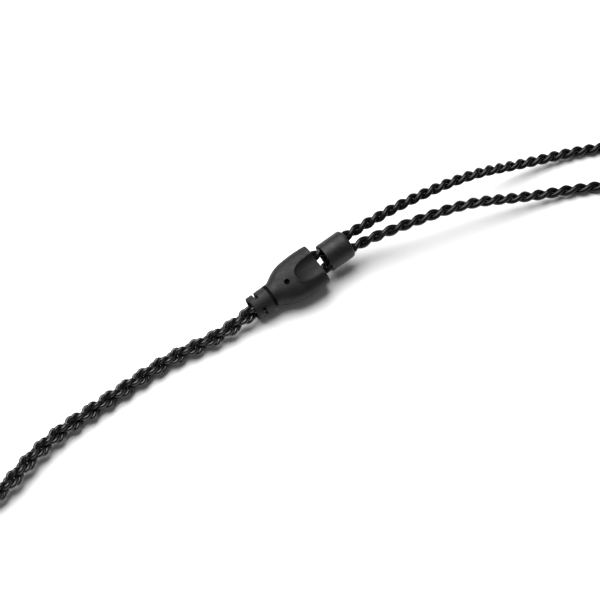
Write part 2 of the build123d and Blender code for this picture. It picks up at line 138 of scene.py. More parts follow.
def nozzle_place(side):
    """On the axis of the nozzle and its ear tip, z outwards, origin at the nozzle's root."""
    ear = ear_place(side)
    z = unit(JOINTS[f"{side}_tip_pull"]["axis"])
    x = unit(ear.axes[0] - z * (ear.axes[0] @ z))
    return Place(ear.put(NOZZLE_ROOT) / MM, x, z)


SPLITTER = splitter_place()
SOCKET_HEIGHT = JOINTS["left_swivel"]["pos_m"][2] / MM


# ---- Mesh helpers ----
def ease(low, high, value):
    """0 below low, 1 above high, and a smooth S between them."""
    t = np.clip((value - low) / (high - low), 0, 1)
    return t * t * (3 - 2 * t)


def curve_through(stations, values, at):
    """A smooth curve through the stations: cubic pieces whose slopes are the mean of both neighbours."""
    stations, values = np.asarray(stations, float), np.asarray(values, float)
    slopes = np.gradient(values, stations)
    k = np.clip(np.searchsorted(stations, at) - 1, 0, len(stations) - 2)
    width = stations[k + 1] - stations[k]
    t = (at - stations[k]) / width
    return (
        (1 + 2 * t) * (1 - t) ** 2 * values[k]
        + t * (1 - t) ** 2 * width * slopes[k]
        + t * t * (3 - 2 * t) * values[k + 1]
        + t * t * (t - 1) * width * slopes[k + 1]
    )


def full_turn(count):
    return np.linspace(0, 2 * math.pi, count, endpoint=False)


def grid_faces(rings, around, looped=False, start=0):
    """Quads between neighbouring rings of points; looped joins the last ring to the first."""
    index = np.arange(rings * around).reshape(rings, around) + start
    near, far = (index, np.roll(index, -1, 0)) if looped else (index[:-1], index[1:])
    quads = np.stack([near, np.roll(near, -1, 1), np.roll(far, -1, 1), far], -1).reshape(-1, 4)
    faces = quads.tolist()
    if not looped:
        faces += [index[0][::-1].tolist(), index[-1].tolist()]
    return faces


def new_object(name, data):
    made = bpy.data.objects.new(name, data)
    bpy.context.scene.collection.objects.link(made)
    return made


def add_piece(name, points, faces, material, body, crease=40.0):
    """A mesh object at the origin with outward faces, smooth but for its creases."""
    mesh = bpy.data.meshes.new(name)
    mesh.from_pydata(points.tolist(), [], faces)
    work = bmesh.new()
    work.from_mesh(mesh)
    bmesh.ops.recalc_face_normals(work, faces=work.faces)
    work.to_mesh(mesh)
    work.free()
    mesh.shade_smooth()
    mesh.set_sharp_from_angle(angle=math.radians(crease))
    mesh.materials.append(material)
    piece = new_object(name, mesh)
    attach(piece, body)
    return piece


def add_rings(name, rings, material, body, slot, crease, looped=False):
    """A piece from rings of points in metres."""
    faces = grid_faces(len(rings), rings.shape[1], looped)
    return add_piece(name, rings.reshape(-1, 3), faces, material, body, crease)


def set_uv(piece, coordinates):
    """One UV pair for each vertex, given to every corner that uses it."""
    mesh = piece.data
    corners = np.empty(len(mesh.loops), dtype=np.int32)
    mesh.loops.foreach_get("vertex_index", corners)
    layer = mesh.uv_layers.new(name="UVMap")
    layer.data.foreach_set("uv", np.asarray(coordinates, float)[corners].astype(np.float32).ravel())


def turned(profile, around=96):
    """Rings of a turned shape: each (distance along x, radius) of the profile becomes a circle."""
    profile = np.asarray(profile, float)
    angle = full_turn(around)
    x = np.repeat(profile[:, :1], around, 1)
    return np.stack([x, profile[:, 1:] * np.cos(angle), profile[:, 1:] * np.sin(angle)], -1)


def rounded(corner, before, after, radius, steps=5):
    """Points of the quadratic curve that rounds a corner of a profile."""
    corner, before, after = (np.asarray(point, float) for point in (corner, before, after))
    start = corner + unit(before - corner) * radius
    end = corner + unit(after - corner) * radius
    t = np.linspace(0, 1, steps)[:, None]
    return ((1 - t) ** 2 * start + 2 * t * (1 - t) * corner + t * t * end).tolist()


def soft_profile(points, radius):
    """A profile whose inner corners are all rounded by up to radius."""
    made = [list(points[0])]
    for before, corner, after in zip(points, points[1:], points[2:]):
        room = 0.45 * min(math.dist(before, corner), math.dist(corner, after))
        made += rounded(corner, before, after, min(radius, room))
    return made + [list(points[-1])]


# ---- Materials ----
class Look:
    """A material with its shader, and the textures that drive it."""

    def __init__(self, name):
        self.material = bpy.data.materials.new(name)
        self.material.use_nodes = True
        self.nodes = self.material.node_tree.nodes
        self.shader = self.nodes["Principled BSDF"]

    def link(self, output, target):
        self.material.node_tree.links.new(output, target)

    def fill(self, node, **inputs):
        """Sets a node's input values; an underscore stands for a space in the input's name."""
        for name, value in inputs.items():
            node.inputs[name.replace("_", " ")].default_value = value
        return node

    def add(self, kind, **inputs):
        return self.fill(self.nodes.new(f"ShaderNode{kind}"), **inputs)

    def texture(self, kind, space="Object", **inputs):
        """A texture on the piece's own coordinates."""
        node = self.add(f"Tex{kind}", **inputs)
        self.link(self.add("TexCoord").outputs[space], node.inputs["Vector"])
        return node

    def noise(self, scale, detail=4.0):
        return self.texture("Noise", Scale=scale, Detail=detail).outputs["Fac"]

    def ramp(self, factor, low, high, start=0.35, end=0.65):
        """A value or colour that goes from low to high as the factor goes from start to end."""
        node = self.add("ValToRGB")
        for stop, place, colour in zip(node.color_ramp.elements, (start, end), (low, high)):
            stop.position = place
            stop.color = (*colour, 1) if np.ndim(colour) else (colour, colour, colour, 1)
        self.link(factor, node.inputs["Fac"])
        return node.outputs["Color"]

    def shade(self, factor, colour, low, high, start=0.35, end=0.65):
        """Base colour that goes from low times to high times the colour."""
        shades = self.ramp(factor, np.array(colour) * low, np.array(colour) * high, start, end)
        self.link(shades, self.shader.inputs["Base Color"])

    def roughen(self, factor, low, high, start=0.35, end=0.65):
        self.link(self.ramp(factor, low, high, start, end), self.shader.inputs["Roughness"])

    def bump(self, height, depth):
        """Relief of the given depth in metres."""
        node = self.add("Bump", Strength=1.0, Distance=depth)
        self.link(height, node.inputs["Height"])
        self.link(node.outputs["Normal"], self.shader.inputs["Normal"])

    def paint_recess_shade(self):
        """Paints shade into recesses: where the point attribute deep is 1, the colour falls to near black as painted
        shade and the surface is fully matte.
        """
        deep = self.add("Attribute")
        deep.attribute_name = "deep"
        # painted shade: the near-black colour that recesses get in place of the shade that falls in them
        painted_shade_black = (0.003, 0.003, 0.003, 1)
        for socket, kind, shade_value in (("Base Color", "Color", painted_shade_black), ("Roughness", "Float", 1.0)):
            plain = self.shader.inputs[socket].links[0].from_socket
            mix = self.add("Mix")
            mix.data_type = "RGBA" if kind == "Color" else "FLOAT"
            first, second = (port for port in mix.inputs if port.identifier in (f"A_{kind}", f"B_{kind}"))
            self.link(deep.outputs["Fac"], mix.inputs["Factor"])
            self.link(plain, first)
            second.default_value = shade_value
            result = next(port for port in mix.outputs if port.identifier == f"Result_{kind}")
            self.link(result, self.shader.inputs[socket])


def moulded_plastic(name, colour, rough, grain=9000.0, depth=0.000012):
    """Soft-touch moulded plastic: spark-eroded grain, slight cloudy wear in tone and gloss, and painted shade in the
    recesses marked deep.
    """
    look = Look(name)
    look.shade(look.noise(350.0, 3.0), colour, 0.85, 1.18)
    look.roughen(look.noise(900.0, 5.0), rough - 0.06, rough + 0.08)
    look.bump(look.noise(grain, 2.0), depth)
    look.fill(look.shader, Specular_IOR_Level=0.22)
    look.paint_recess_shade()
    return look.material


def cord_jacket(name, colour, rough, shine=0.5):
    """Glossy extruded jacket: near black, a little uneven in gloss, with faint rub marks."""
    look = Look(name)
    look.shade(look.noise(600.0, 3.0), colour, 0.8, 1.6)
    look.roughen(look.noise(1500.0), rough - 0.07, rough + 0.12)
    look.bump(look.noise(2500.0, 2.0), 0.00002)
    look.fill(look.shader, Specular_IOR_Level=shine)
    return look.material


def plated_metal(name, colour, rough):
    """Polished plated metal with fine turning marks."""
    look = Look(name)
    look.fill(look.shader, Base_Color=(*colour, 1), Metallic=1.0)
    marks = look.noise(4000.0, 6.0)
    look.roughen(marks, rough * 0.6, rough * 1.6)
    look.bump(marks, 0.000002)
    return look.material


def polished_shell(name, colour):
    """Polished lacquered shell: faint orange peel under a clear coat."""
    look = Look(name)
    look.fill(look.shader, Coat_Weight=0.6, Coat_Roughness=0.08)
    cloud = look.noise(260.0)
    look.shade(cloud, colour, 0.92, 1.1)
    look.roughen(cloud, 0.24, 0.28)
    look.bump(look.noise(700.0, 2.0), 0.00001)
    return look.material


def silicone(name, colour):
    """Soft silicone: matte, a little sheen, fine dust-grey mottling."""
    look = Look(name)
    look.fill(look.shader, Sheen_Weight=0.15, Sheen_Roughness=0.4)
    cloud = look.noise(500.0, 5.0)
    look.shade(cloud, colour, 0.85, 1.25)
    look.roughen(cloud, 0.48, 0.6)
    look.bump(look.noise(3500.0, 2.0), 0.00001)
    return look.material


def woven(name, colour, scale):
    """Woven strap: two crossed thread waves on the UV map give tone and relief."""
    look = Look(name)
    cross = look.add("Math")
    cross.operation = "MULTIPLY"
    for direction, product in zip("XY", cross.inputs):
        wave = look.texture("Wave", "UV", Scale=scale, Distortion=0.6)
        wave.bands_direction = direction
        look.link(wave.outputs["Fac"], product)
    weave = cross.outputs[0]
    look.shade(weave, colour, 0.5, 1.5, 0.1, 0.8)
    look.roughen(weave, 0.95, 0.8, 0.1, 0.8)
    look.bump(weave, 0.00015)
    return look.material


def perforated(name, colour):
    """Etched filter sheet: the holes are not cut but painted near black as the shade inside them, between bright cell
    walls.
    """
    look = Look(name)
    wall = look.texture("Voronoi", Scale=2600.0, Randomness=0.15).outputs["Distance"]
    # painted shade: the near-black colour at the cell centres stands for the shade inside the holes
    look.shade(wall, colour, 0.04, 1.0, 0.3, 0.45)
    look.roughen(wall, 0.9, 0.35, 0.3, 0.45)
    look.fill(look.shader, Metallic=1.0)
    look.bump(wall, 0.00004)
    return look.material


def circuit_board(name):
    """Solder mask over copper: a green sheet with lighter track lines."""
    look = Look(name)
    brick = look.texture("Brick", Scale=900.0)
    look.fill(brick, Color1=(0.02, 0.13, 0.05, 1), Color2=(0.025, 0.16, 0.06, 1), Mortar=(0.09, 0.3, 0.1, 1))
    look.link(brick.outputs["Color"], look.shader.inputs["Base Color"])
    look.fill(look.shader, Roughness=0.35)
    look.bump(brick.outputs["Fac"], 0.00002)
    return look.material


# ---- Cord lines ----
def on_splitter(x, y=0.0, z=0.0):
    return (SPLITTER.put((x, y, z)) / MM).tolist()


MAIN_ROUTE = [
    on_splitter(-11.0),
    on_splitter(-17.0, -0.4),
    (-21.6, -16.8, 2.4),
    (-32.0, -21.6, 1.9),
    (-45.0, -31.6, 1.9),
    (-58.5, -42.1, 2.6),
    (-67.5, -55.4, 3.0),
    (-79.0, -59.85, 2.45),
]
MAIN_TAIL = [(-117.25, -27.0, 5.3), (-112.5, -13.5, 3.8), (-109.7, 0.4, 3.8)]
LEG_ROUTES = {
    "left": [
        on_splitter(-POCKET_DEPTH, LEG_OFFSET),
        on_splitter(-1.0, 2.0),
        on_splitter(2.6, 1.75),
        on_splitter(10.0, 1.4),
        (20.0, 13.8, 9.4),
        (35.0, 21.6, 8.4),
        (47.0, 27.4, 3.0),
        (61.5, 32.5, 1.2),
        (76.0, 34.2, 1.2),
        (91.0, 33.7, 1.3),
        (110.0, 30.8, 1.7),
    ],
    "right": [
        on_splitter(-POCKET_DEPTH, -LEG_OFFSET),
        on_splitter(-1.0, -2.0),
        on_splitter(2.6, -1.75),
        on_splitter(10.0, -1.5),
        (20.5, 8.3, 9.0),
        (34.0, 14.2, 8.2),
        (47.0, 18.5, 3.0),
        (61.0, 22.2, 1.2),
        (72.0, 23.2, 1.4),
    ],
}
LEG_TAILS = {
    "left": [(136.1, 4.5, 3.2), (132.7, -12.2, 5.0), (124.4, -26.4, 5.0)],
    "right": [(95.9, -7.5, 3.2), (92.5, -24.2, 5.0), (84.2, -38.4, 5.0)],
}
# centre, mean radius, cord diameter, direction where the coil starts, turns, the part of a turn where
# the turns step over each other (under the tie), and the (column, layer) of each turn
LEG_COIL = dict(
    dia=LEG_DIA, start=90.0, turns=3.25, step=(0.58, 0.74), order=((1, 0), (-1, 0), (-1, 1), (1, 1)),
)
COILS = {
    "main": dict(
        centre=(-96.0, -38.0), radius=20.0, dia=MAIN_DIA, start=-90.0, turns=5.25, step=(0.53, 0.68),
        order=((1, 0), (-1, 0), (-1, 1), (-1, 2), (1, 2), (1, 1)),
    ),
    "left": dict(LEG_COIL, centre=(124.0, 18.5), radius=11.2),
    "right": dict(LEG_COIL, centre=(82.0, 6.5), radius=13.0),
}


def coil_turns(coil):
    """Control points of clockwise turns that lie beside and on each other, a diameter apart."""
    points = []
    count = round(coil["turns"] * COIL_POINTS)
    # an order-3 NURBS line runs inside its control points, so these lie a little further out
    outset = 1 / (0.75 + 0.25 * math.cos(2 * math.pi / COIL_POINTS))
    order = coil["order"] + coil["order"][-1:]
    for number in range(count + 1):
        turn, part = divmod(number / COIL_POINTS, 1)
        share = float(ease(*coil["step"], part))
        (column, layer), (next_column, next_layer) = order[int(turn)], order[int(turn) + 1]
        column += (next_column - column) * share
        layer += (next_layer - layer) * share
        radius = (coil["radius"] + column * coil["dia"] / 2) * outset
        angle = math.radians(coil["start"]) - 2 * math.pi * number / COIL_POINTS
        height = TIE_THICKNESS + coil["dia"] * (0.5 + layer)
        centre = coil["centre"]
        points.append((centre[0] + radius * math.cos(angle), centre[1] + radius * math.sin(angle), height))
    return points


def spline_line(route, step):
    """Points a step apart along the smooth NURBS line that has the route as its control points."""
    curve = bpy.data.curves.new("route", "CURVE")
    curve.dimensions = "3D"
    curve.resolution_u = 12
    spline = curve.splines.new("NURBS")
    spline.points.add(len(route) - 1)
    control = np.column_stack([np.array(route) * MM, np.ones(len(route))])
    spline.points.foreach_set("co", control.astype(np.float32).ravel())
    spline.order_u = 3
    spline.use_endpoint_u = True
    holder = bpy.data.objects.new("route", curve)
    mesh = bpy.data.meshes.new_from_object(holder)
    line = np.empty(len(mesh.vertices) * 3, dtype=np.float32)
    mesh.vertices.foreach_get("co", line)
    line = line.reshape(-1, 3).astype(float)
    bpy.data.meshes.remove(mesh)
    bpy.data.objects.remove(holder)
    bpy.data.curves.remove(curve)
    return even_steps(line, step)


def distance_along(line):
    return np.concatenate([[0], np.cumsum(np.linalg.norm(np.diff(line, axis=0), axis=1))])


def even_steps(line, step):
    """The same line with its points a step apart."""
    far = distance_along(line)
    keep = np.concatenate([[True], np.diff(far) > 1e-9])
    line, far = line[keep], far[keep]
    at = np.linspace(0, far[-1], max(2, round(far[-1] / (step * MM))))
    return np.stack([np.interp(at, far, line[:, axis]) for axis in range(3)], -1)


def line_length(line):
    return float(np.linalg.norm(np.diff(line, axis=0), axis=1).sum())


def across(line):
    """Two directions square to the line at each point: the level side, and the one above it."""
    along = unit(np.gradient(line, axis=0))
    side = unit(np.cross(UP, along))
    return side, np.cross(along, side)


def tube(line, radius, around):
    """Rings of points round a line."""
    side, over = across(line)
    angle = full_turn(around)[:, None]
    ring = np.cos(angle) * side[:, None] + np.sin(angle) * over[:, None]
    return line[:, None] + ring * np.reshape(radius, (-1, 1, 1))


def twisted(line, wires):
    """Centre lines of wires wound round a line: each wire sums circles of (radius, pitch, phase)."""
    side, over = across(line)
    far = distance_along(line)
    lines = []
    for circles in wires:
        wound = line.copy()
        for radius, pitch, phase in circles:
            angle = (2 * math.pi * far / (pitch * MM) + phase)[:, None]
            wound += radius * MM * (np.cos(angle) * side + np.sin(angle) * over)
        lines.append(wound)
    return lines


def wire_bundle(name, lines, radius, around, material, body):
    """One mesh of several round wires."""
    rings = [tube(line, radius * MM, around) for line in lines]
    points = np.concatenate([ring.reshape(-1, 3) for ring in rings])
    faces = []
    for number, ring in enumerate(rings):
        faces += grid_faces(len(ring), around, start=number * ring.shape[0] * around)
    return add_piece(name, points, faces, material, body, 80)


# ---- Settings ----
class CordSettings(bpy.types.PropertyGroup):
    leg_wire: FloatProperty(
        name="Leg wire", description="Diameter of one wire of a leg, mm", default=1.28, min=0.2)
    left_pitch: FloatProperty(
        name="Left twist", description="Length of one full twist of the left leg, mm", default=5.8, min=1)
    right_pitch: FloatProperty(
        name="Right twist", description="Length of one full twist of the right leg, mm", default=6.75, min=1)
    main_wire: FloatProperty(
        name="Main wire", description="Diameter of one wire of the main cord, mm", default=0.97, min=0.2)
    strand_wires: IntProperty(
        name="Wires", description="Wires twisted together in each strand of the main cord", default=3, min=2)
    strand_pitch: FloatProperty(
        name="Strand twist", description="Length of one full twist of a strand of the main cord, mm",
        default=5.2, min=1)
    lay_pitch: FloatProperty(
        name="Lay", description="Length in which the strands go once round each other, mm", default=9.0, min=1)
    strand_reach: FloatProperty(
        name="Strand offset", description="From the main cord's middle to each strand's middle, mm",
        default=0.86, min=0)
    step: FloatProperty(
        name="Step", description="Length of one mesh ring along a wire, mm", default=0.4, min=0.1)
    around: IntProperty(name="Sides", description="Sides of each wire", default=8, min=5)
    colour: FloatVectorProperty(
        name="Jacket", description="Colour of the jacket", subtype="COLOR", default=(0.0042, 0.0042, 0.0046))
    gloss: FloatProperty(
        name="Roughness", description="Roughness of the jacket", subtype="FACTOR", default=0.2, min=0.0, max=1)


class MouldingSettings(bpy.types.PropertyGroup):
    colour: FloatVectorProperty(
        name="Splitter", description="Colour of the splitter", subtype="COLOR", default=(0.0085, 0.0085, 0.009))
    slider_colour: FloatVectorProperty(
        name="Slider", description="Colour of the slider", subtype="COLOR", default=(0.0112, 0.0112, 0.0118))
    rough: FloatProperty(
        name="Roughness", description="Roughness of the mouldings", subtype="FACTOR", default=0.52, min=0, max=1)
    scoop_depth: FloatProperty(
        name="Scoop depth", description="Depth of the thumb scoop at the mouth, mm", default=0.92, min=0)
    scoop_length: FloatProperty(
        name="Scoop length", description="Length of the thumb scoop, mm", default=5.9, min=1)
    scoop_width: FloatProperty(
        name="Scoop width", description="Width of the thumb scoop at the mouth, mm", default=5.0, min=1)


class EarpieceSettings(bpy.types.PropertyGroup):
    outer_colour: FloatVectorProperty(
        name="Faceplate", description="Colour of the outer shell", subtype="COLOR", default=(0.02, 0.02, 0.022))
    inner_colour: FloatVectorProperty(
        name="Inner shell", description="Colour of the inner shell", subtype="COLOR", default=(0.035, 0.035, 0.04))
    tip_colour: FloatVectorProperty(
        name="Tip", description="Colour of the ear tips", subtype="COLOR", default=(0.05, 0.05, 0.053))
    gold: FloatVectorProperty(
        name="Contacts", description="Colour of the contacts", subtype="COLOR", default=(0.9, 0.66, 0.3))


class StageSettings(bpy.types.PropertyGroup):
    distance: FloatProperty(
        name="Distance", description="From the camera to what it looks at", unit="LENGTH", default=0.45, min=0.1)
    elevation: FloatProperty(
        name="Elevation", description="Camera above the table, degrees", default=62.0, min=5, max=90)
    width: FloatProperty(
        name="Picture width", description="Width of the view at the splitter", unit="LENGTH", default=0.132, min=0.01)
    target: FloatVectorProperty(
        name="Target", description="Point at the middle of the picture",
        subtype="TRANSLATION", default=(-0.00374, -0.00905, 0.0052))
    key_power: FloatProperty(
        name="Key light", description="Strength of the soft key light, W/m2", default=5.6, min=0)
    softness: FloatProperty(
        name="Softness", description="Apparent width of the key light",
        subtype="ANGLE", default=math.radians(60), min=0)
    sky: FloatProperty(name="Sky", description="Strength of the white surroundings", default=0.13, min=0)


# ---- Splitter and slider ----
def superellipse(x, half_width, half_height, power, around):
    """Rings |y/a|^n + |z/b|^n = 1 at each x."""
    angle = full_turn(around)
    c, s = np.cos(angle), np.sin(angle)
    reach = (np.abs(c) ** power[:, None] + np.abs(s) ** power[:, None]) ** (-1 / power[:, None])
    y, z = half_width[:, None] * c * reach, half_height[:, None] * s * reach
    return np.stack([np.repeat(x[:, None], around, 1), y, z], -1)


def splitter_rings(settings, around=280):
    """Outside of the splitter from the strain relief's hole to the mouth's pocket, as rings.

    The outside is a superellipse whose half width follows a smooth curve through a few stations.
    The flex slots and the dimple press it inwards, and the scoop is a bowl that is open at the mouth.
    """
    relief = RELIEF_RADIUS
    slot_edges = {at + side for at in FLEX_SLOTS for side in (-0.73, -0.7, 0.0, 0.03)}
    relief_x = sorted(set(np.round(np.arange(RELIEF_END + 0.3, NECK - 0.05, 0.2), 3)) | slot_edges)
    body_x = [np.arange(NECK, -9.2, 0.2), np.arange(-9.2, -7.6, 0.09), np.arange(-7.6, -0.25, 0.1)]
    outer_x = np.concatenate([relief_x, *body_x])
    half = curve_through(
        [-30, NECK - 0.6, NECK + 0.1, -10.9, -9.5, -7.7, -5.4, -3.4, -1.6, 0.0],
        [relief, relief, relief + 0.02, 3.48, 4.22, 4.77, 5.01, 5.08, 5.04, MOUTH_HALF_WIDTH],
        outer_x,
    )
    tall = curve_through(
        [-30, NECK - 0.6, NECK + 0.1, -9.5, -6.0, 0.0],
        [relief, relief, relief, 3.18, 3.3, MOUTH_HALF_TALL],
        outer_x,
    )
    power = 2 + 0.45 * ease(NECK, -8.0, outer_x)
    bore = [
        (-11.0, 0.02), (-11.0, RELIEF_BORE), (-17.2, RELIEF_BORE), (RELIEF_END, RELIEF_BORE + 0.1),
        (RELIEF_END, relief - 0.25), (RELIEF_END + 0.06, relief - 0.1), (RELIEF_END + 0.17, relief - 0.02),
    ]
    edge = rounded((0, 1), (-1, 1), (0, 0), 0.16, 6)
    wide, high, pocket_power = POCKET_SECTION
    lip = 0.12
    pocket = [
        (0.0, wide + lip, high + lip, pocket_power),
        (-lip, wide, high, pocket_power),
        (-POCKET_DEPTH, wide, high, pocket_power),
        (-POCKET_DEPTH, 0.02, 0.02, 2),
    ]
    sections = np.concatenate([
        [(x, radius, radius, 2) for x, radius in bore],
        np.column_stack([outer_x, half, tall, power]),
        [(x, MOUTH_HALF_WIDTH - (1 - y), MOUTH_HALF_TALL - (1 - y), MOUTH_POWER) for x, y in edge],
        pocket,
    ])
    rings = superellipse(*sections.T, around)
    body = rings[:-len(pocket)]
    carve_relief(body)
    carve_scoop(body, settings)
    carve_dimple(body)
    return rings


def carve_relief(rings):
    """Presses the flex slots in: the first from above and below, the next from both sides."""
    x, y, z = rings[..., 0], rings[..., 1], rings[..., 2]
    reach = np.hypot(y, z)
    for at, flank, start in zip(FLEX_SLOTS, (z, y + SCOOP_SIDE), (0.85, 1.2)):
        inside = (x < at + 0.02) & (x > at - 0.72) & (reach > 2.5)
        deep = ease(start, start + 0.25, np.abs(flank)) * inside
        scale = (reach - 0.9 * deep) / np.maximum(reach, 1e-6)
        y *= scale
        z *= scale


def carve_scoop(rings, settings):
    """A bowl open at the mouth, with a raised lip round it.

    Its depth is the full depth times (1 - s)^0.8, where s = |x/length|^3 + |2y/width|^2.8.
    """
    x, y, z = rings[..., 0], rings[..., 1] + SCOOP_SIDE, rings[..., 2]
    share = np.abs(np.minimum(x, 0) / settings.scoop_length) ** 3.0
    share = share + np.abs(2 * y / settings.scoop_width) ** 2.8
    bowl = settings.scoop_depth * np.clip(1 - share, 0, 1) ** 0.8
    lip = 0.16 * np.exp(-(((share - 1.1) / 0.22) ** 2)) * ease(0.97, 1.1, share)
    z += (lip - bowl) * (z > 0.8)


def carve_dimple(rings):
    """A small round blind hole on top."""
    x, y, z = rings[..., 0], rings[..., 1], rings[..., 2]
    inside = 1 - ease(0.52, 0.62, np.hypot(x - DIMPLE, y))
    z -= 1.0 * inside * (z > 2)


class IEM_OT_splitter(bpy.types.Operator):
    """Moulded Y splitter with thumb scoop, dimple, mouth pocket and slotted strain relief"""

    bl_idname = "iem.splitter"
    bl_label = "Splitter"

    def execute(self, context):
        settings = context.scene.iem_moulding
        rings = splitter_rings(settings)
        material = moulded_plastic("splitter plastic", settings.colour, settings.rough)
        piece = add_rings("splitter_moulding", SPLITTER.put(rings), material, "cable", "splitter_plastic", 50)
        # painted shade: the flex slots and the dimple get the point attribute deep, which paints them near black and
        # matte
        reach = np.hypot(rings[..., 1], rings[..., 2])
        in_slot = (rings[..., 0] < NECK) & (reach < RELIEF_RADIUS - 0.15)
        in_dimple = (np.hypot(rings[..., 0] - DIMPLE, rings[..., 1]) < 0.56) & (rings[..., 2] > 1)
        deep = piece.data.attributes.new("deep", "FLOAT", "POINT")
        deep.data.foreach_set("value", (in_slot | in_dimple).ravel().astype(np.float32))
        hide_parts("splitter_overmould")
        give_material("splitter_core", moulded_plastic("core plastic", (0.12, 0.12, 0.13), 0.6))
        return {"FINISHED"}


def give_material(node, material):
    """Puts a material on every slot of a CAD node."""
    slots = frame["nodes"][node].material_slots
    for slot in slots:
        slot.material = material
    if not slots:
        frame["nodes"][node].data.materials.append(material)


class IEM_OT_slider(bpy.types.Operator):
    """Chin slider: a thin-walled tube whose rounded end has one oval hole for both legs"""

    bl_idname = "iem.slider"
    bl_label = "Slider"

    def execute(self, context):
        settings = context.scene.iem_moulding
        start, end, radius = SLIDER_START, SLIDER_END, SLIDER_RADIUS
        wall = [
            (start, radius - 0.22), (start, radius - 0.02), (start + 0.4, radius),
            (end - 1.2, radius), (end, radius), (end, 2.5),
        ]
        outside = [point for point in soft_profile(wall, 0.1) if point[0] < end - 1.0]
        outside += rounded((end, radius), (end - 1, radius), (end, radius - 1), 0.8, 9)
        outside += [(end, 2.82)]
        profile = [(x, r, r, 2.0) for x, r in outside]
        profile += [(end, 2.78, 1.5, 2.6), (end - 0.1, 2.72, 1.42, 2.6), (end - 0.9, 2.72, 1.42, 2.6)]
        bore = ((end - 0.9, 0.36), (start + 2.8, 0.36), (start + 0.05, 0.24))
        profile += [(x, radius - thick, radius - thick, 2.0) for x, thick in bore]
        rings = superellipse(*np.array(profile).T, 128)
        material = moulded_plastic("slider plastic", settings.slider_colour, settings.rough - 0.1, 7000.0, 0.00001)
        piece = add_rings("chin_slider", SPLITTER.put(rings), material, "slider", "slider_plastic", 40, looped=True)
        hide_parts("cable_slider")
        return {"FINISHED"}


# ---- Ties ----
def tie_rings(coil, width, direction):
    """A strap round the bundle: a rounded band section carried round the bundle's rounded outline."""
    dia, layers = coil["dia"], max(layer for _, layer in coil["order"]) + 1
    half_w, half_h = dia, dia * layers / 2
    angle = full_turn(96)
    c, s = np.cos(angle), np.sin(angle)
    power = 5.0
    reach = (np.abs(c) ** power + np.abs(s) ** power) ** (-1 / power)
    outline = np.stack([(half_w + 0.02) * c * reach, (half_h + 0.02) * s * reach], -1)
    slope = [np.abs(part) ** (power - 1) * np.sign(part) / size for part, size in ((c, half_w), (s, half_h))]
    normal = unit(np.stack(slope, -1))
    half, thick = width / 2, TIE_THICKNESS
    start = (-half, 0.3 * thick)
    band = soft_profile([start, (-half, 0), (half, 0), (half, thick), (-half, thick), start], 0.2)
    across_band, lift = np.array(band[:-1]).T
    ring = outline[:, None] + normal[:, None] * np.minimum(lift, thick - 0.03)[None, :, None]
    turn = np.radians(direction) + (half + across_band) / coil["radius"]
    distance = coil["radius"] + ring[..., 0]
    x = coil["centre"][0] + distance * np.cos(turn)
    y = coil["centre"][1] + distance * np.sin(turn)
    z = TIE_THICKNESS + half_h + ring[..., 1]
    uv = np.stack(np.broadcast_arrays(across_band[None], angle[:, None] * 10), -1)
    return np.stack([x, y, z], -1) * MM, uv


# width of each strap, and its direction from the coil's centre in degrees
TIES = {"main": (8.0, 40.0), "left": (5.0, 200.0), "right": (5.0, 200.0)}


class IEM_OT_ties(bpy.types.Operator):
    """Woven straps that hold the put-away coils"""

    bl_idname = "iem.ties"
    bl_label = "Coil ties"

    def execute(self, context):
        material = woven("tie strap", (0.045, 0.045, 0.05), 2.2)
        for name, (width, direction) in TIES.items():
            rings, uv = tie_rings(COILS[name], width, direction)
            piece = add_rings(f"{name}_strap", rings, material, "cable", "tie_strap", 60, looped=True)
            set_uv(piece, uv.reshape(-1, 2))
            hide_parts(f"{name}_coil_tie")
        return {"FINISHED"}


def lay_cord(cord, line, start):
    """Prints the cord's name and length; start, where the cord leaves the splitter, is not used."""
    print(cord.name, "length", round(line_length(line), 4))


def leg_line(side, step):
    return spline_line(LEG_ROUTES[side] + coil_turns(COILS[side]) + LEG_TAILS[side], step)


class IEM_OT_cords(bpy.types.Operator):
    """Main cord of two strands of twisted wires laid round each other, and two legs of one twisted pair each"""

    bl_idname = "iem.cords"
    bl_label = "Cords"

    def execute(self, context):
        settings = context.scene.iem_cord
        jacket = cord_jacket("cord jacket", settings.colour, settings.gloss, 0.45)
        leg_jacket = cord_jacket("leg jacket", settings.colour, settings.gloss - 0.03, 0.2)
        line = spline_line(MAIN_ROUTE + coil_turns(COILS["main"]) + MAIN_TAIL, settings.step)
        half = settings.main_wire / 2
        count = settings.strand_wires
        circle = half / math.sin(math.pi / count)
        wires = [
            [(settings.strand_reach, settings.lay_pitch, strand * math.pi),
             (circle, -settings.strand_pitch, (2 * wire + strand) * math.pi / count)]
            for strand in (0, 1)
            for wire in range(count)
        ]
        cord = wire_bundle("main_wires", twisted(line, wires), half, settings.around, jacket, "cable")
        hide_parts("main_cord", "main_coil", "main_tail")
        lay_cord(cord, line, on_splitter(RELIEF_END))
        half = settings.leg_wire / 2
        for side in SIDES:
            line = leg_line(side, settings.step)
            pitch = settings.left_pitch if side == "left" else settings.right_pitch
            wires = [[(half, -pitch, wire * math.pi)] for wire in (0, 1)]
            cord = wire_bundle(f"{side}_wires", twisted(line, wires), half, settings.around + 2, leg_jacket, "cable")
            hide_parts(f"{side}_leg", f"{side}_coil", f"{side}_tail")
            start = on_splitter(0, LEG_OFFSET if side == "left" else -LEG_OFFSET)
            lay_cord(cord, line, start)
        return {"FINISHED"}


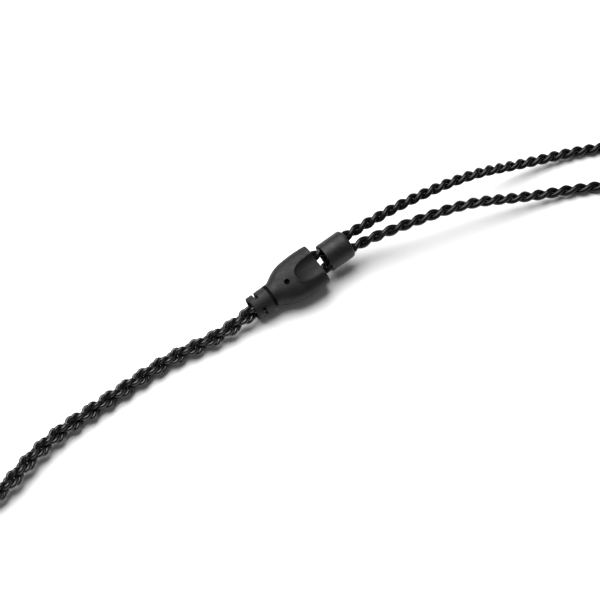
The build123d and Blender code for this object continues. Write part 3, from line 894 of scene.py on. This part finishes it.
class IEM_OT_hooks(bpy.types.Operator):
    """Shrunk memory sleeves that form the ear hooks"""

    bl_idname = "iem.hooks"
    bl_label = "Ear hooks"

    def execute(self, context):
        material = cord_jacket("hook sleeve", (0.02, 0.02, 0.022), 0.2)
        for side in SIDES:
            line = leg_line(side, HOOK_STEP)[HOOK_STRETCH]
            far = np.arange(len(line)) * HOOK_STEP
            radius = HOOK_RADIUS + HOOK_RIPPLE * np.cos(2 * math.pi * far / HOOK_RIPPLE_PITCH)
            radius[0] -= 0.18
            radius[1] -= 0.06
            rings = tube(line, radius * MM, 20)
            piece = add_rings(f"{side}_hook", rings, material, "cable", "hook_sleeve", 50)
            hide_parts(f"{side}_ear_hook")
        return {"FINISHED"}


# ---- Plug and connectors ----
def plug_place():
    start, end = (np.array(point) for point in MAIN_TAIL[-2:])
    direction = unit(end - start)
    return Place(end - direction * PLUG_BACK, direction, UP)


class IEM_OT_plug(bpy.types.Operator):
    """Plug barrel with its slotted boot, and the plated pin"""

    bl_idname = "iem.plug"
    bl_label = "Plug"

    def execute(self, context):
        settings = context.scene.iem_moulding
        profile = [(0, 1.95), (0, 2.45)]
        slot = 0.5
        for start in (1.2, 3.2, 5.2, 7.2):
            radius = 2.5 + 0.08 * start
            profile += [(start, radius), (start + 0.02, radius - 0.55)]
            profile += [(start + slot, radius - 0.55), (start + slot + 0.02, radius + 0.04)]
        profile += [(9.4, 3.35), (10.2, 3.72)]
        for rib in range(8):
            start = 13.2 + rib * 0.9
            profile += [(start, PLUG_RADIUS), (start + 0.15, 3.5), (start + 0.45, 3.5), (start + 0.6, PLUG_RADIUS)]
        profile += [(23.6, PLUG_RADIUS), (24.7, 3.5), (PLUG_LENGTH, 3.1), (PLUG_LENGTH, 2.02)]
        profile += [(20.0, 2.02), (20.0, 2.36), (PLUG_BACK, 2.36), (PLUG_BACK, 1.95)]
        material = moulded_plastic("plug plastic", settings.colour, settings.rough)
        barrel = turned(profile, 96)
        piece = add_rings("plug_barrel", plug_place().put(barrel), material, "cable", "plug_plastic", 35, looped=True)
        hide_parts("plug_overmould")
        gold = plated_metal("gold plating", context.scene.iem_earpiece.gold, 0.18)
        band = cord_jacket("insulator", (0.015, 0.015, 0.015), 0.35)
        for node in ("plug_collar", "plug_sleeve", "plug_ring", "plug_tip"):
            give_material(node, gold)
        for node in ("plug_rear_insulator", "plug_front_insulator"):
            give_material(node, band)
        give_material("plug_core", bpy.data.materials["core plastic"])
        return {"FINISHED"}


def socket_place(side):
    place = ear_place(side)
    place.origin = place.origin + UP * SOCKET_HEIGHT
    return place


class IEM_OT_connectors(bpy.types.Operator):
    """Snap connector barrels with grip rings and a coloured channel ring"""

    bl_idname = "iem.connectors"
    bl_label = "Connectors"

    def execute(self, context):
        plastic = bpy.data.materials["plug plastic"]
        gold, band = bpy.data.materials["gold plating"], bpy.data.materials["insulator"]
        marks = {"left": (0.02, 0.06, 0.5), "right": (0.5, 0.02, 0.02)}
        for side in SIDES:
            place, radius = socket_place(side), BARREL_RADIUS
            profile = [(-8.2, 1.25), (-8.2, 1.85), (-8.1, 2.1), (-7.7, 2.27)]
            for start in (-6.6, -5.6, -4.6):
                profile += [(start, radius), (start + 0.05, 2.02), (start + 0.45, 2.02), (start + 0.5, radius)]
            profile += [(-3.0, radius), (-2.98, 2.1), (-2.2, 2.1), (-2.18, radius), (-0.45, radius)]
            profile += [(-0.2, 2.1), (-0.2, 1.52), (-3.0, 1.52), (-3.0, 1.25)]
            barrel, look = turned(profile, 72), ("cable", "plug_plastic", 35, True)
            piece = add_rings(f"{side}_barrel", place.put(barrel), plastic, *look)
            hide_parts(f"{side}_connector_barrel")
            ring = turned(soft_profile([(-2.96, 2.1), (-2.96, 2.29), (-2.22, 2.29), (-2.22, 2.1)], 0.05), 72)
            mark = moulded_plastic(f"{side} channel ring", marks[side], 0.4)
            add_rings(f"{side}_channel_ring", place.put(ring), mark, *look)
            for node in ("snap_contact", "centre_pin", "socket", "receptacle"):
                give_material(f"{side}_{node}", gold)
            for node in ("pin_insulator", "socket_insulator"):
                give_material(f"{side}_{node}", band)
        return {"FINISHED"}


# ---- Earpieces ----
def egg(x_half, y_half, around):
    """An oval whose width swells by 8 percent towards one end."""
    angle = full_turn(around)
    swell = 1 + 0.08 * np.cos(angle)
    return np.stack([x_half * np.cos(angle), y_half * np.sin(angle) * swell], -1)


def outer_shell_rings(around=128):
    """Faceplate side: a flat oval face, a soft edge and a straight wall up to the parting line."""
    levels = [(0.0, 0.02), (0.0, 0.5), (0.0, 0.80)]
    levels += [(1.5 * (1 - math.cos(t)), 0.82 + 0.165 * math.sin(t)) for t in np.linspace(0.1, math.pi / 2, 9)]
    levels += [(3.0, 0.992), (4.6, 0.985), (4.88, 0.98), (4.94, 0.965)]
    levels += [(4.94, 0.9), (3.9, 0.88), (1.2, 0.86), (1.05, 0.02)]
    rings = []
    for height, share in levels:
        plan = egg(SHELL_HALF[0] * share, SHELL_HALF[1] * share, around)
        rings.append(np.column_stack([plan[:, 0], plan[:, 1], np.full(around, height)]) + SHELL_MIDDLE)
    return np.array(rings)


def inner_shell_rings(around=128):
    """Ear side: the wall closes over in a soft crown that leads into the slanted nozzle."""
    tilt, turn = math.radians(20.0), math.radians(25.0)
    z = np.array([math.sin(tilt) * math.cos(turn), math.sin(tilt) * math.sin(turn), math.cos(tilt)])
    root = np.array(NOZZLE_ROOT)
    angle = full_turn(around)
    crown = [(5.06, 0.9), (5.06, 0.965), (5.12, 0.98)]
    crown += [(h, (1 - ((h - 5.1) / 7.2) ** 2.6) ** (1 / 2.2) * 0.985) for h in np.linspace(5.6, 10.6, 16)]
    rings = []
    for height, share in crown:
        lean = ease(5.5, 11.5, height)
        centre = SHELL_MIDDLE * (1 - 0.55 * lean) + np.array([root[0], root[1], 0]) * 0.55 * lean + UP * height
        slope = 0.75 * lean * tilt
        plan = egg(SHELL_HALF[0] * share, SHELL_HALF[1] * share, around)
        x = unit(np.array([math.cos(slope), 0, -math.sin(slope) * math.cos(turn)]))
        y = [0, 1, -math.sin(slope) * math.sin(turn)]
        rings.append(centre + np.outer(plan[:, 0], x) + np.outer(plan[:, 1], y))
    side_x = unit(np.array([z[2], 0, -z[0]]))
    side_y = np.cross(z, side_x)
    neck = [(3.3, 3.5), (3.9, 2.95), (4.6, 2.68), (5.6, 2.6), (9.9, 2.6), (10.0, 2.85)]
    neck += [(10.8, 2.88), (11.0, 2.7), (11.0, 1.85), (10.7, 1.8), (5.0, 1.8), (1.5, 1.8)]
    ring = np.outer(np.cos(angle), side_x) + np.outer(np.sin(angle), side_y)
    for far, radius in neck:
        rings.append(root + z * far + ring * radius)
    return np.array(rings)


class IEM_OT_earpieces(bpy.types.Operator):
    """Both earpieces: shells, socket boss, filter, drivers and soft tips"""

    bl_idname = "iem.earpieces"
    bl_label = "Earpieces"

    def execute(self, context):
        settings = context.scene.iem_earpiece
        outer = polished_shell("outer shell", settings.outer_colour)
        inner = polished_shell("inner shell", settings.inner_colour)
        rubber = silicone("tip silicone", settings.tip_colour)
        steel = plated_metal("driver can", (0.55, 0.56, 0.57), 0.3)
        mesh = perforated("filter mesh", (0.17, 0.17, 0.175))
        foam = moulded_plastic("damper foam", (0.7, 0.66, 0.55), 0.9)
        board = circuit_board("crossover board")
        inside = {"crossover_board": board, "woofer": steel, "tweeter": steel, "damper": foam, "wax_filter": mesh}
        for side in SIDES:
            body, place = f"{side}_earpiece", ear_place(side)
            rings = outer_shell_rings()
            piece = add_rings(f"{side}_faceplate", place.put(rings), outer, body, "shell_outer", 35)
            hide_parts(f"{side}_outer_shell")
            rings = inner_shell_rings()
            piece = add_rings(f"{side}_ear_side", place.put(rings), inner, body, "shell_inner", 35)
            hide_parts(f"{side}_inner_shell")
            boss = [(0, 2.25), (0, 2.95), (1.0, 3.1), (3.5, 3.6), (4.2, 3.0), (4.2, 2.25)]
            rings = socket_place(side).put(turned(soft_profile(boss, 0.25), 72))
            add_rings(f"{side}_socket_boss", rings, outer, body, "shell_outer", 35, looped=True)
            for node, material in inside.items():
                give_material(f"{side}_{node}", material)
            place, body = nozzle_place(side), f"{side}_tip"
            tip = add_rings(f"{side}_soft_tip", place.put(tip_rings()), rubber, body, "tip_silicone", 50, looped=True)
            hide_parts(f"{side}_ear_tip")
        return {"FINISHED"}


def tip_rings(around=112):
    """Turned profile of the ear tip on the nozzle's axis: stem, thick crown, and a thin dome."""
    top, base, inner, stem, skirt = 12.2, 3.6, 2.95, 3.6, 5.95
    t = np.linspace(0, 1, 22)
    dome_height = base + 0.5 + (top - base - 0.7) * np.sin(t * math.pi / 2)
    dome_radius = stem + 0.45 + (skirt - stem - 0.45) * np.cos(t * math.pi / 2) ** 0.72
    skin = 0.45
    under_height = dome_height[::-1] - skin * np.linspace(1.6, 0.0, 22)
    under_radius = np.maximum(dome_radius[::-1] - skin, stem + 0.02)
    profile = [(inner, base + 0.4), (inner, top - 0.35), (inner + 0.3, top - 0.02)]
    profile += list(zip(dome_radius[::-1], dome_height[::-1]))
    profile += [(skirt - 0.08, base + 0.36), (skirt - skin + 0.05, base + 0.36)]
    profile += list(zip(under_radius[::-1], under_height[::-1]))
    profile += [(stem, base + 0.4)]
    rings = turned([(height, radius) for radius, height in profile], around)
    return rings[..., [1, 2, 0]]


# ---- Stage ----
class IEM_OT_stage(bpy.types.Operator):
    """White table, soft light and camera"""

    bl_idname = "iem.stage"
    bl_label = "Stage"

    def execute(self, context):
        settings, scene = context.scene.iem_stage, context.scene
        half = TABLE_HALF
        mesh = bpy.data.meshes.new("table")
        mesh.from_pydata([(-half, -half, 0), (half, -half, 0), (half, half, 0), (-half, half, 0)], [], [(0, 1, 2, 3)])
        look = Look("white table")
        look.fill(look.shader, Roughness=0.6, Specular_IOR_Level=0.2)
        look.shade(look.noise(3.0), (1, 1, 1), 0.93, 0.95)
        mesh.materials.append(look.material)
        new_object("table", mesh)

        target = Vector(settings.target)
        tilt = math.radians(settings.elevation)
        camera = bpy.data.cameras.new("camera")
        camera.lens = camera.sensor_width * settings.distance / settings.width
        camera.clip_start = 0.01
        viewer = new_object("camera", camera)
        viewer.location = target + settings.distance * Vector((0, -math.cos(tilt), math.sin(tilt)))
        viewer.rotation_euler = (math.pi / 2 - tilt, 0, 0)
        scene.camera = viewer

        lamp = bpy.data.lights.new("key", "SUN")
        lamp.angle, lamp.energy = settings.softness, settings.key_power
        key = new_object("key", lamp)
        key.location = target + Vector(KEY_OFFSET)
        key.rotation_euler = (target - key.location).to_track_quat("-Z", "Y").to_euler()

        world = bpy.data.worlds.new("white surroundings")
        world.use_nodes = True
        sky = world.node_tree.nodes["Background"]
        sky.inputs["Color"].default_value = (1, 1, 1, 1)
        sky.inputs["Strength"].default_value = settings.sky
        scene.world = world
        scene.view_settings.view_transform = "Standard"
        return {"FINISHED"}


# ---- Panel and registration ----
OPERATORS = (
    IEM_OT_stage,
    IEM_OT_splitter,
    IEM_OT_slider,
    IEM_OT_ties,
    IEM_OT_hooks,
    IEM_OT_plug,
    IEM_OT_connectors,
    IEM_OT_cords,
    IEM_OT_earpieces,
)
SETTINGS = {
    "iem_cord": CordSettings,
    "iem_moulding": MouldingSettings,
    "iem_earpiece": EarpieceSettings,
    "iem_stage": StageSettings,
}


class IEM_PT_panel(bpy.types.Panel):
    """Lists the settings and the steps that build the set"""

    bl_idname = "IEM_PT_panel"
    bl_label = "In-ear set"
    bl_space_type = "VIEW_3D"
    bl_region_type = "UI"
    bl_category = "In-ear set"

    def draw(self, context):
        for attribute, group in SETTINGS.items():
            box = self.layout.box()
            for name in group.__annotations__:
                box.prop(getattr(context.scene, attribute), name)
        for operator in OPERATORS:
            self.layout.operator(operator.bl_idname)


def register():
    for group in SETTINGS.values():
        bpy.utils.register_class(group)
    for attribute, group in SETTINGS.items():
        setattr(bpy.types.Scene, attribute, PointerProperty(type=group))
    for operator in (*OPERATORS, IEM_PT_panel):
        bpy.utils.register_class(operator)


def unregister():
    for operator in (IEM_PT_panel, *reversed(OPERATORS)):
        bpy.utils.unregister_class(operator)
    for attribute, group in SETTINGS.items():
        delattr(bpy.types.Scene, attribute)
        bpy.utils.unregister_class(group)


def main():
    register()
    for operator in OPERATORS:
        family, name = operator.bl_idname.split(".")
        getattr(getattr(bpy.ops, family), name)()


if __name__ == "__main__":
    main()
